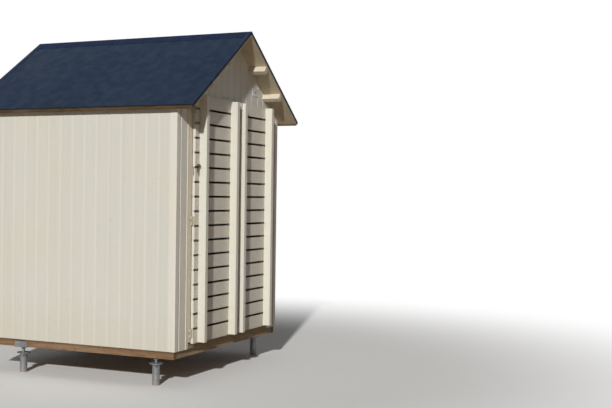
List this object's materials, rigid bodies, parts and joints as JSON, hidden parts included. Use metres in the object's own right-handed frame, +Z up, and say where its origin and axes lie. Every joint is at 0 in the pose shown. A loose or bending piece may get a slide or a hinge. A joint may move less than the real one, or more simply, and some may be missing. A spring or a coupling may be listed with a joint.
{
  "type": "beach hut",
  "caption": "Timber beach hut with upright cladding, slotted front doors that swing open, a gabled metal roof, a raised base frame and steel ground-screw feet.",
  "frame": {"origin": "on the ground, below the middle of the hut", "axes": "+X from the left wall to the right wall seen from the doors, +Y from the doors to the back wall, +Z up"},
  "size_m": [2.1546, 2.44, 3.1845],
  "materials": {
    "cream_timber": "satin cream paint on boards",
    "brown_timber": "weathered brown treated timber",
    "bare_timber": "bare planed softwood",
    "roof_metal": "matt slate-blue coated sheet",
    "galvanised_steel": "dull galvanised steel",
    "cord_fibre": "dull red-brown cord",
    "plate_enamel": "blank pale plate"
  },
  "bodies": {
    "hut": {"base_side_beams": "brown_timber", "base_sills": "brown_timber", "corner_boards": "cream_timber", "floor_boards": "bare_timber", "floor_joists": "brown_timber", "foot_front_left": "galvanised_steel", "foot_front_right": "galvanised_steel", "foot_rear_left": "galvanised_steel", "foot_rear_right": "galvanised_steel", "gable_back": "cream_timber", "gable_front": "cream_timber", "gable_studs": "bare_timber", "headers": "bare_timber", "hinge_plates_left": "galvanised_steel", "hinge_plates_right": "galvanised_steel", "number_plate": "plate_enamel", "purlins": "cream_timber", "ridge_beam": "bare_timber", "ridge_cap": "roof_metal", "roof_deck_left": "cream_timber", "roof_deck_right": "cream_timber", "roof_sheet_left": "roof_metal", "roof_sheet_right": "roof_metal", "threshold": "brown_timber", "top_plates": "bare_timber", "verge_trim_back": "roof_metal", "verge_trim_front": "roof_metal", "wall_back": "cream_timber", "wall_front_left": "cream_timber", "wall_front_right": "cream_timber", "wall_left": "cream_timber", "wall_posts": "bare_timber", "wall_rails": "bare_timber", "wall_right": "cream_timber"},
    "left_leaf": {"leaf_left_boards": "cream_timber", "leaf_left_fins": "cream_timber", "leaf_left_battens": "cream_timber", "hinge_knuckles_left": "galvanised_steel", "door_tie": "cord_fibre"},
    "right_leaf": {"leaf_right_boards": "cream_timber", "leaf_right_fins": "cream_timber", "leaf_right_battens": "cream_timber", "hinge_knuckles_right": "galvanised_steel", "meeting_block": "cream_timber"}
  },
  "joints": [
    {"name": "left_leaf_hinge", "type": "hinge", "parent": "hut", "child": "left_leaf", "pos_m": [-0.7595, -1.0415, 1.425], "axis": [0, 0, -1], "range_deg": [0, 90]},
    {"name": "right_leaf_hinge", "type": "hinge", "parent": "hut", "child": "right_leaf", "pos_m": [0.7595, -1.0415, 1.425], "axis": [0, 0, 1], "range_deg": [0, 90]}
  ]
}
